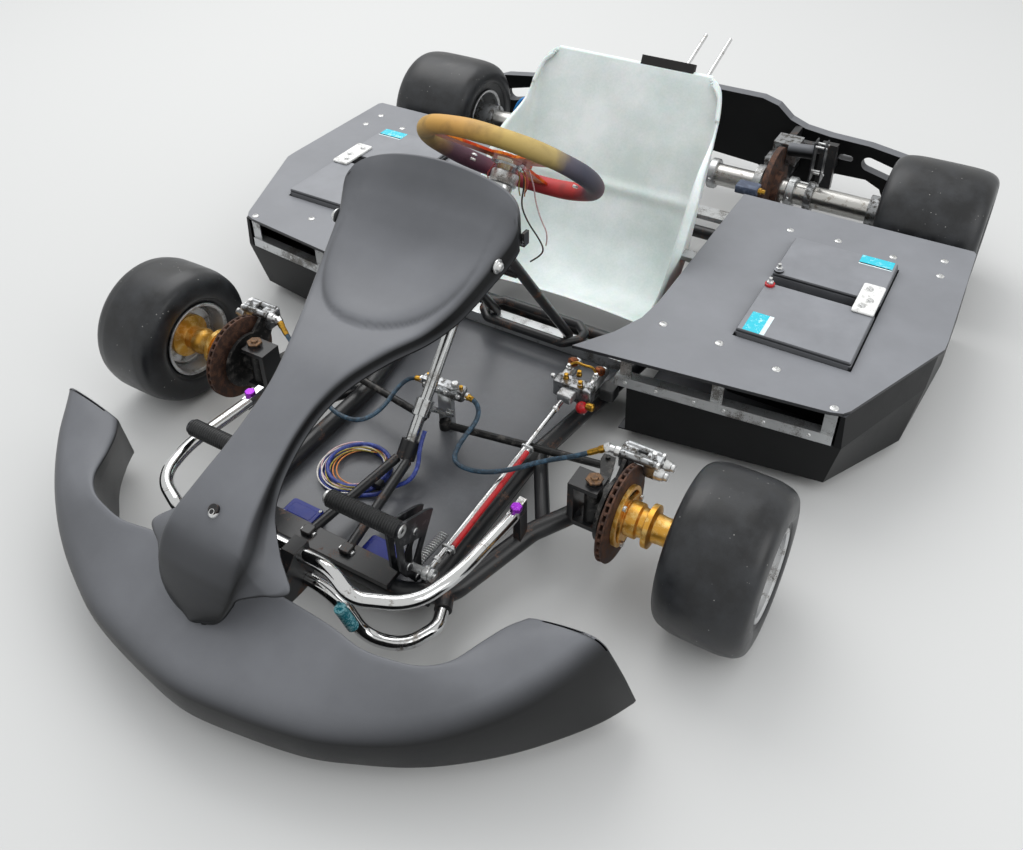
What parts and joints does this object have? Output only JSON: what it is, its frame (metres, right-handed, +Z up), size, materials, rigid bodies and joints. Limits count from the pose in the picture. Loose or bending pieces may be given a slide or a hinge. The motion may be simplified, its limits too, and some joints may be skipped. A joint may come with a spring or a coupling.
{
  "type": "electric go-kart",
  "caption": "Bare tube kart with bucket seat, nose fairing, covered battery bays, slick tyres, chrome column and a bent rear bumper.",
  "frame": {"origin": "on the ground, under the middle of the kart's overall length", "axes": "+Z up, -Y the way the kart drives, +X the driver's left"},
  "size_m": [1.422, 1.798, 0.5787],
  "materials": {
    "tyre_rubber": "worn slick rubber",
    "rim_silver": "cast and turned, dusty",
    "hub_gold": "anodised gold, scuffed",
    "disc_rust": "surface rust",
    "yoke_black": "black paint with chips",
    "caliper_silver": "machined, dirty",
    "rod_dark": "dark zinc",
    "shaft_chrome": "plated",
    "spoke_red": "orange-red anodised plate",
    "wheel_grip": "worn grip with faded colour",
    "frame_paint": "dark paint, chips and rust",
    "bar_chrome": "plated with fine rust",
    "mount_dark": "dark paint",
    "pedal_dark": "gun-metal grey",
    "cylinder_alloy": "mixed alloy and brass",
    "splitter_steel": "dull steel",
    "hose_black": "braided black cover",
    "beam_aluminium": "mill finish, scuffed",
    "tray_dark": "scuffed dark sheet",
    "box_blue": "deep blue case",
    "seat_fibre": "translucent pale glass fibre",
    "strip_black": "black bracket",
    "body_plastic": "matte black, scuffed",
    "deck_dark": "dark grey sheet, scratched",
    "bay_black": "black sheet",
    "battery_case": "dark case with plain coloured labels",
    "link_white": "white bus bars",
    "axle_steel": "steel with light rust",
    "motor_dark": "dark housing",
    "cable_blue": "blue jacket",
    "wire_dark": "dark and yellow twisted wire",
    "wire_pale": "pale pink wire"
  },
  "bodies": {
    "chassis": {"brake_hose_left": "hose_black", "brake_hose_right": "hose_black", "frame": "frame_paint", "front_bumper_bars": "bar_chrome", "nose_clamps": "mount_dark", "column_support": "mount_dark", "pedal_mount": "mount_dark", "brake_pedal": "pedal_dark", "throttle_pedal": "pedal_dark", "brake_pushrod": "beam_aluminium", "master_cylinders": "cylinder_alloy", "brake_splitter": "splitter_steel", "cross_beam": "beam_aluminium", "floor_tray": "tray_dark", "seat_front_loop": "mount_dark", "control_boxes": "box_blue", "seat": "seat_fibre", "seat_rods": "strip_black", "nose_fairing": "body_plastic", "front_panel": "body_plastic", "side_bays": "bay_black", "deck_plates": "deck_dark", "batteries": "battery_case", "battery_links": "link_white", "bay_frames": "beam_aluminium", "rear_bumper": "body_plastic", "bumper_brackets": "mount_dark", "axle_bearings": "caliper_silver", "rear_caliper": "caliper_silver", "motor": "motor_dark", "cable_coil": "cable_blue", "cable_lead": "cable_blue"},
    "steering": {"steering_shaft": "shaft_chrome", "steering_wheel_spokes": "spoke_red", "steering_wheel_rim": "wheel_grip", "wheel_wire_dark": "wire_dark", "wheel_wire_pale": "wire_pale"},
    "rear_axle_set": {"rear_axle": "axle_steel", "rear_hubs": "rim_silver", "rear_rims": "rim_silver", "rear_tyres": "tyre_rubber", "rear_brake_disc": "disc_rust", "sprocket": "axle_steel"},
    "knuckle_left_set": {"knuckle_left": "yoke_black", "front_caliper_left": "caliper_silver"},
    "tie_rod_left_set": {"tie_rod_left": "rod_dark"},
    "front_wheel_left": {"front_tyre_left": "tyre_rubber", "front_rim_left": "rim_silver", "front_hub_left": "hub_gold", "front_brake_disc_left": "disc_rust"},
    "knuckle_right_set": {"knuckle_right": "yoke_black", "front_caliper_right": "caliper_silver"},
    "tie_rod_right_set": {"tie_rod_right": "rod_dark"},
    "front_wheel_right": {"front_tyre_right": "tyre_rubber", "front_rim_right": "rim_silver", "front_hub_right": "hub_gold", "front_brake_disc_right": "disc_rust"}
  },
  "joints": [
    {"name": "steering_turn", "type": "hinge", "parent": "chassis", "child": "steering", "pos_m": [0, -0.393, 0.0824], "axis": [0, 0.6691, 0.7431], "range_deg": [-58, 58]},
    {"name": "kingpin_left", "type": "hinge", "parent": "chassis", "child": "knuckle_left_set", "pos_m": [0.328, -0.371, 0.127], "axis": [0, 0, 1], "range_deg": [-25, 25], "deforming": ["brake_hose_left"]},
    {"name": "tie_rod_left_turn", "type": "hinge", "parent": "knuckle_left_set", "child": "tie_rod_left_set", "pos_m": [0.302, -0.266, 0.097], "axis": [0, 0, 1], "range_deg": [-25, 25]},
    {"name": "front_wheel_left_spin", "type": "hinge", "parent": "knuckle_left_set", "child": "front_wheel_left", "pos_m": [0.536, -0.371, 0.127], "axis": [1, 0, 0], "continuous": true},
    {"name": "kingpin_right", "type": "hinge", "parent": "chassis", "child": "knuckle_right_set", "pos_m": [-0.328, -0.371, 0.127], "axis": [0, 0, 1], "range_deg": [-25, 25], "deforming": ["brake_hose_right"]},
    {"name": "tie_rod_right_turn", "type": "hinge", "parent": "knuckle_right_set", "child": "tie_rod_right_set", "pos_m": [-0.302, -0.266, 0.097], "axis": [0, 0, 1], "range_deg": [-25, 25]},
    {"name": "front_wheel_right_spin", "type": "hinge", "parent": "knuckle_right_set", "child": "front_wheel_right", "pos_m": [-0.536, -0.371, 0.127], "axis": [1, 0, 0], "continuous": true},
    {"name": "rear_axle_spin", "type": "hinge", "parent": "chassis", "child": "rear_axle_set", "pos_m": [0, 0.674, 0.138], "axis": [1, 0, 0], "continuous": true}
  ],
  "couplings": [
    {"joint": "kingpin_left", "follows": "steering_turn", "ratio": 0.43},
    {"joint": "tie_rod_left_turn", "follows": "steering_turn", "ratio": -0.43},
    {"joint": "kingpin_right", "follows": "steering_turn", "ratio": 0.43},
    {"joint": "tie_rod_right_turn", "follows": "steering_turn", "ratio": -0.43}
  ]
}
